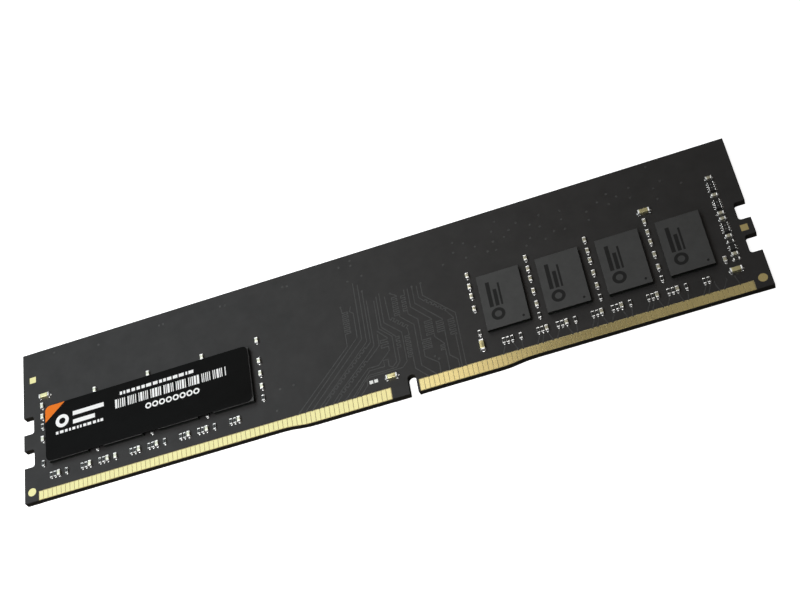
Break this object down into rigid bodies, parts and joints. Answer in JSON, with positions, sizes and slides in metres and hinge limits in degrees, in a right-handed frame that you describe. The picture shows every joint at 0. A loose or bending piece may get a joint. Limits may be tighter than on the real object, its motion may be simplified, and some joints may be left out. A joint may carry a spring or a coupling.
{
  "type": "ram module",
  "caption": "Desktop memory module: a long keyed circuit board with an edge of gold contacts, a row of flat memory packages, small chip components and a label.",
  "frame": {"origin": "middle of the board's outline, on its back face", "axes": "+X along the module towards its last front contact, +Y from the contact edge to the top edge, +Z out of the front face"},
  "size_m": [0.1334, 0.0312, 0.0024],
  "materials": {
    "solder_mask": "satin black solder mask on a glass-fibre laminate",
    "gold_plating": "smooth gold plating on copper",
    "tin_plating": "bright tin plating",
    "solder": "bright solder",
    "package_mould": "fine matte moulded epoxy",
    "package_substrate": "dark green laminate",
    "silicon": "polished silicon",
    "label_film": "glossy black printed film with an orange corner",
    "capacitor_ceramic": "satin beige ceramic",
    "white_ceramic": "white alumina",
    "resistor_film": "glossy dark glass film"
  },
  "bodies": {
    "root": {"circuit_board": "solder_mask", "front_contacts_001_to_077": "gold_plating", "front_contacts_078_to_144": "gold_plating", "back_contacts_145_to_221": "gold_plating", "back_contacts_222_to_288": "gold_plating", "fiducial_pads": "gold_plating", "test_pads": "tin_plating", "memory_1_mould": "package_mould", "memory_1_substrate": "package_substrate", "memory_1_die": "silicon", "memory_1_solder_balls": "solder", "memory_2_mould": "package_mould", "memory_2_substrate": "package_substrate", "memory_2_die": "silicon", "memory_2_solder_balls": "solder", "memory_3_mould": "package_mould", "memory_3_substrate": "package_substrate", "memory_3_die": "silicon", "memory_3_solder_balls": "solder", "memory_4_mould": "package_mould", "memory_4_substrate": "package_substrate", "memory_4_die": "silicon", "memory_4_solder_balls": "solder", "memory_5_mould": "package_mould", "memory_5_substrate": "package_substrate", "memory_5_die": "silicon", "memory_5_solder_balls": "solder", "memory_6_mould": "package_mould", "memory_6_substrate": "package_substrate", "memory_6_die": "silicon", "memory_6_solder_balls": "solder", "memory_7_mould": "package_mould", "memory_7_substrate": "package_substrate", "memory_7_die": "silicon", "memory_7_solder_balls": "solder", "memory_8_mould": "package_mould", "memory_8_substrate": "package_substrate", "memory_8_die": "silicon", "memory_8_solder_balls": "solder", "label": "label_film", "presence_detect_body": "package_mould", "presence_detect_leads": "tin_plating", "small_capacitor_bodies": "capacitor_ceramic", "small_capacitor_ends": "tin_plating", "large_capacitor_bodies": "capacitor_ceramic", "large_capacitor_ends": "tin_plating", "resistor_bodies": "white_ceramic", "resistor_films": "resistor_film", "resistor_ends": "tin_plating", "resistor_array_bodies": "white_ceramic", "resistor_array_films": "resistor_film", "resistor_array_ends": "tin_plating"}
  },
  "joints": []
}
